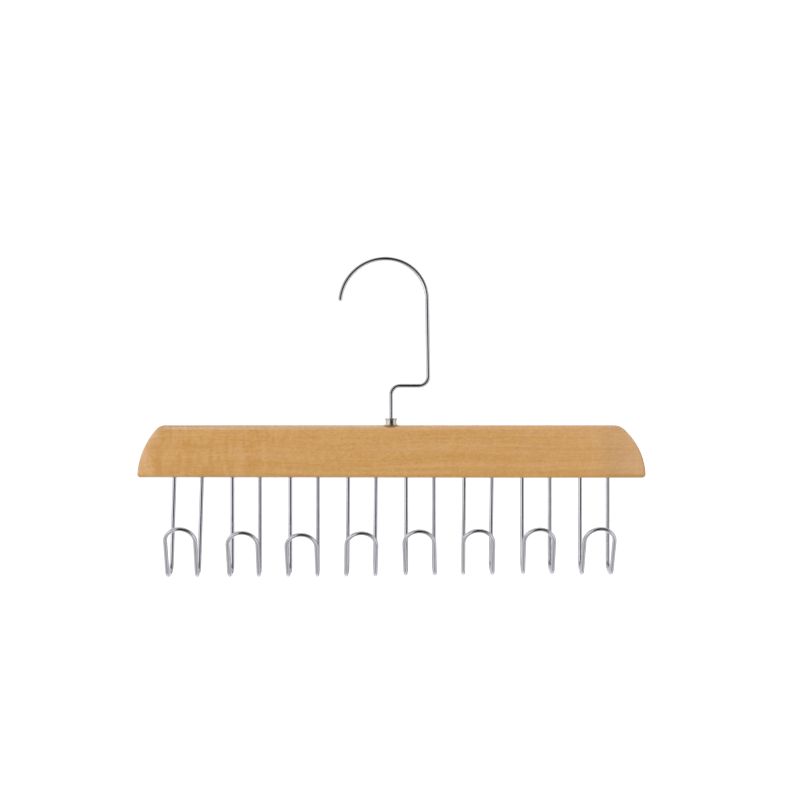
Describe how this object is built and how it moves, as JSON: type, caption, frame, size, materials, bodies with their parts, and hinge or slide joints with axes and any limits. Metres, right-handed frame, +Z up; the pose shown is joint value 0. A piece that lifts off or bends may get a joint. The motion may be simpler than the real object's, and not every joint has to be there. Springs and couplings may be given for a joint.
{
  "type": "tie hanger",
  "caption": "Wooden bar tie hanger with a swivelling cranked wire hook above and a row of bent wire double hooks leaning forward below.",
  "frame": {"origin": "on the swivel axis, level with the underside of the hook's crown, where a wardrobe rail carries the hanger", "axes": "+Z up along the swivel axis, +X along the bar, away from the hook's tip, and -Y towards the side that the tie hooks lean to"},
  "size_m": [0.3497, 0.0414, 0.2203],
  "materials": {
    "bar_wood": "clear gloss lacquer over light wood",
    "ferrule_plate": "polished nickel plate",
    "hook_wire": "polished chrome plate on steel wire",
    "tie_wire": "polished chrome plate on steel wire"
  },
  "bodies": {
    "hook": {"swivel_hook": "hook_wire"},
    "hanger": {"bar": "bar_wood", "ferrule": "ferrule_plate", "tie_hook_1": "tie_wire", "tie_hook_2": "tie_wire", "tie_hook_3": "tie_wire", "tie_hook_4": "tie_wire", "tie_hook_5": "tie_wire", "tie_hook_6": "tie_wire", "tie_hook_7": "tie_wire", "tie_hook_8": "tie_wire"}
  },
  "joints": [
    {"name": "hook_swivel", "type": "hinge", "parent": "hook", "child": "hanger", "pos_m": [0, 0, -0.1135], "axis": [0, 0, 1], "continuous": true}
  ]
}
